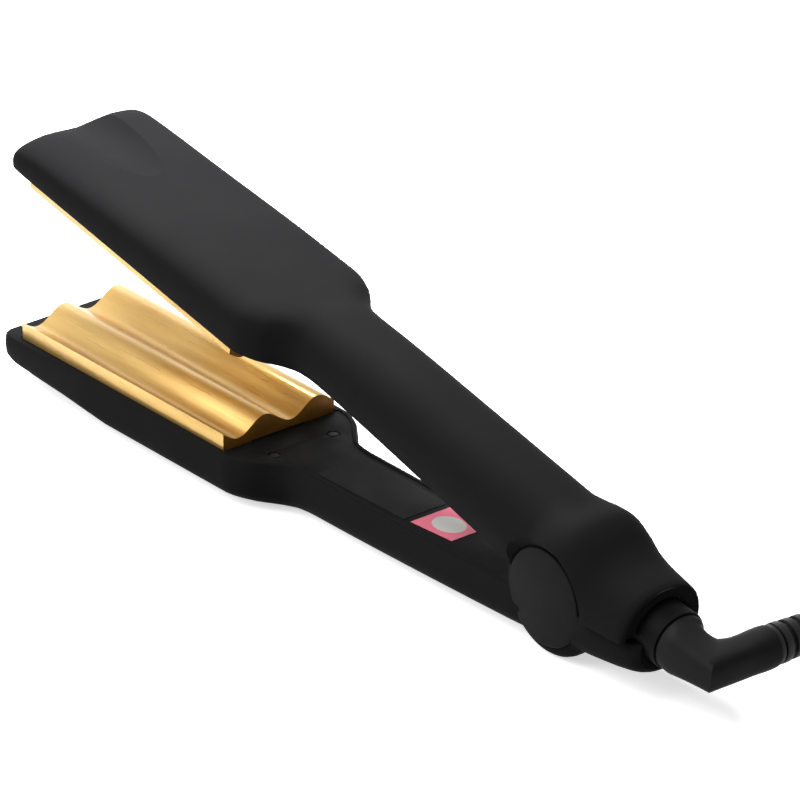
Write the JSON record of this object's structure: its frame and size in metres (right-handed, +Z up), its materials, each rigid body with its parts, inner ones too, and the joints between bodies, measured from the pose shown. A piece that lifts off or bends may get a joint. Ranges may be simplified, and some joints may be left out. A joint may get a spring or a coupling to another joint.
{
  "type": "hair crimper",
  "caption": "Hair crimping iron: two sprung arms with deep wavy gold plates, hinged at the rear, with a swivelling elbow for its coiled mains lead and plug.",
  "frame": {"origin": "On the surface the iron lies on, under the middle of the wave plates, on the iron's middle plane.", "axes": "+X runs along the iron from its tip towards the mains lead, +Y across it, away from the side with the near hinge cap, and +Z up."},
  "size_m": [0.3321, 0.1801, 0.0839],
  "materials": {
    "casing_plastic": "black moulded plastic with a soft satin sheen",
    "cover_plastic": "black moulded plastic, fine texture",
    "gold_plate": "gold coloured coated aluminium, satin",
    "holder_plastic": "heat-resistant moulded plastic",
    "ceramic_heater": "off-white sintered ceramic",
    "spring_steel": "bright spring steel",
    "black_screw": "blackened steel",
    "label_film": "bare dark grey printed-label film",
    "sticker_film": "pink paper sticker with a pale oval field",
    "steel": "ground steel",
    "cap_plastic": "black moulded plastic",
    "swivel_plastic": "black moulded plastic, satin",
    "relief_rubber": "black flexible moulding",
    "lead_rubber": "black PVC sheath, matt",
    "tie_fabric": "black woven hook-and-loop band",
    "plug_plastic": "black moulded plug",
    "pin_brass": "nickel-plated brass"
  },
  "bodies": {
    "lower_arm": {"lower_casing": "casing_plastic", "lower_inner_cover": "cover_plastic", "lower_wave_plate": "gold_plate", "lower_plate_holder": "holder_plastic", "lower_heater": "ceramic_heater", "lower_heater_spring": "spring_steel", "lower_cover_screws": "black_screw", "thermal_fuse": "spring_steel", "blank_label": "label_film", "quality_sticker": "sticker_film", "hinge_pin": "steel", "near_hinge_cap": "cap_plastic", "far_hinge_cap": "cap_plastic", "opening_spring": "spring_steel", "swivel_collar": "swivel_plastic", "mains_lead": "lead_rubber", "lead_coil": "lead_rubber", "lead_end": "lead_rubber", "coil_tie": "tie_fabric", "plug_body": "plug_plastic", "plug_relief": "relief_rubber", "plug_pins": "pin_brass"},
    "upper_arm": {"upper_casing": "casing_plastic", "upper_inner_cover": "cover_plastic", "upper_wave_plate": "gold_plate", "upper_plate_holder": "holder_plastic", "upper_heater": "ceramic_heater", "upper_heater_spring": "spring_steel", "upper_cover_screws": "black_screw"},
    "swivel": {"swivel_elbow": "swivel_plastic", "swivel_stem_clip": "spring_steel", "strain_relief": "relief_rubber"}
  },
  "joints": [
    {"name": "arm_hinge", "type": "hinge", "parent": "lower_arm", "child": "upper_arm", "pos_m": [0.1898, 0, 0.0194], "axis": [0, -1, 0], "range_deg": [0, 11.3], "stiffness_Nm_per_rad": 1.2, "springref_deg": -25.78},
    {"name": "cord_swivel", "type": "hinge", "parent": "lower_arm", "child": "swivel", "pos_m": [0.2313, 0, 0.0204], "axis": [0.9863, 0, -0.165], "continuous": true}
  ]
}
